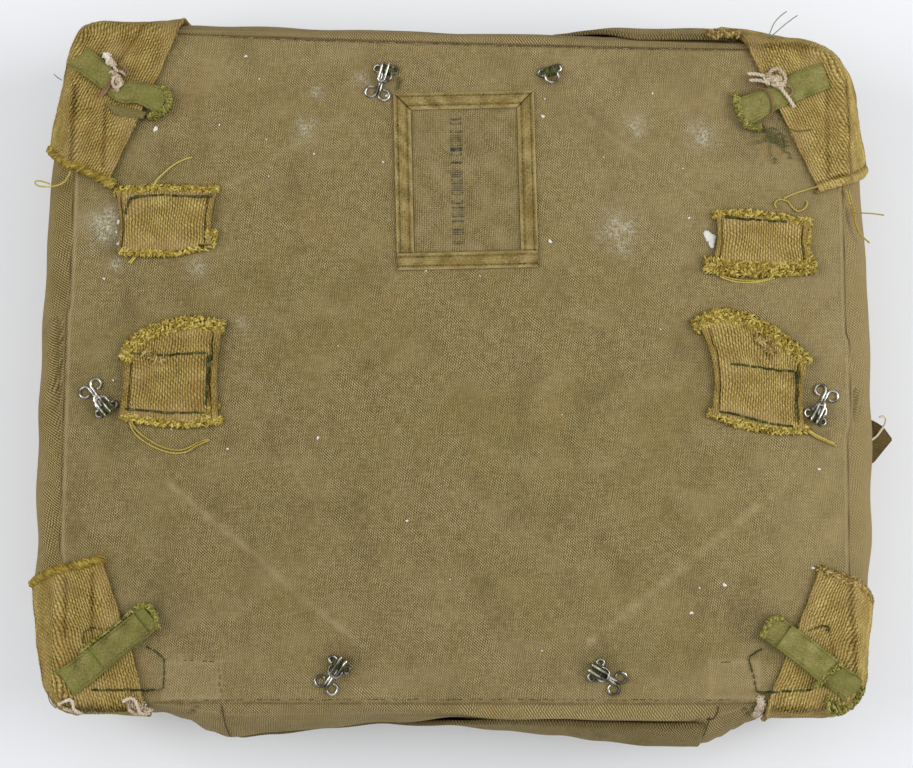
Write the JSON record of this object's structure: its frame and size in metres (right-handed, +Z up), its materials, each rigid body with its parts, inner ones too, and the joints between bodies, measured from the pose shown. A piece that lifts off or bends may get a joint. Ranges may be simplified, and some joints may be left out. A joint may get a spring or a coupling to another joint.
{
  "type": "packed parachute",
  "caption": "Closed seat parachute pack of cotton duck, lying seat face up, with cut webbing ends, tape loops, record pocket and wire hooks and eyes.",
  "frame": {"origin": "on the resting face, below the middle of the whole part", "axes": "+X along the long side, +Y towards the rear edge with the record pocket, +Z up out of the seat face"},
  "size_m": [0.4135, 0.3551, 0.1011],
  "materials": {
    "canvas": "matte",
    "webbing": "matte",
    "tape": "matte",
    "binding": "matte",
    "hook_wire": "satin",
    "lashing": "matte",
    "tab": "matte"
  },
  "bodies": {
    "root": {"pack": "canvas", "front_flap": "canvas", "rear_flap": "canvas", "pocket": "canvas", "strap_rear_left": "webbing", "strap_rear_right": "webbing", "strap_front_left": "webbing", "strap_front_right": "webbing", "stub_left_rear": "webbing", "stub_left_front": "webbing", "stub_right_rear": "webbing", "stub_right_front": "webbing", "tape_rear_left": "tape", "tape_rear_right": "tape", "tape_front_left": "tape", "tape_front_left_top": "tape", "tape_front_right": "tape", "tape_front_right_top": "tape", "pocket_binding_front": "binding", "pocket_binding_right": "binding", "pocket_binding_rear": "binding", "pocket_binding_left": "binding", "eye_rear_left": "hook_wire", "hook_rear_left": "hook_wire", "eye_rear_right": "hook_wire", "eye_side_left": "hook_wire", "hook_side_left": "hook_wire", "eye_side_right": "hook_wire", "hook_side_right": "hook_wire", "eye_front_left": "hook_wire", "hook_front_left": "hook_wire", "eye_front_right": "hook_wire", "hook_front_right": "hook_wire", "lashing_rear_left": "lashing", "lashing_rear_right": "lashing", "side_tab": "tab"}
  },
  "joints": []
}
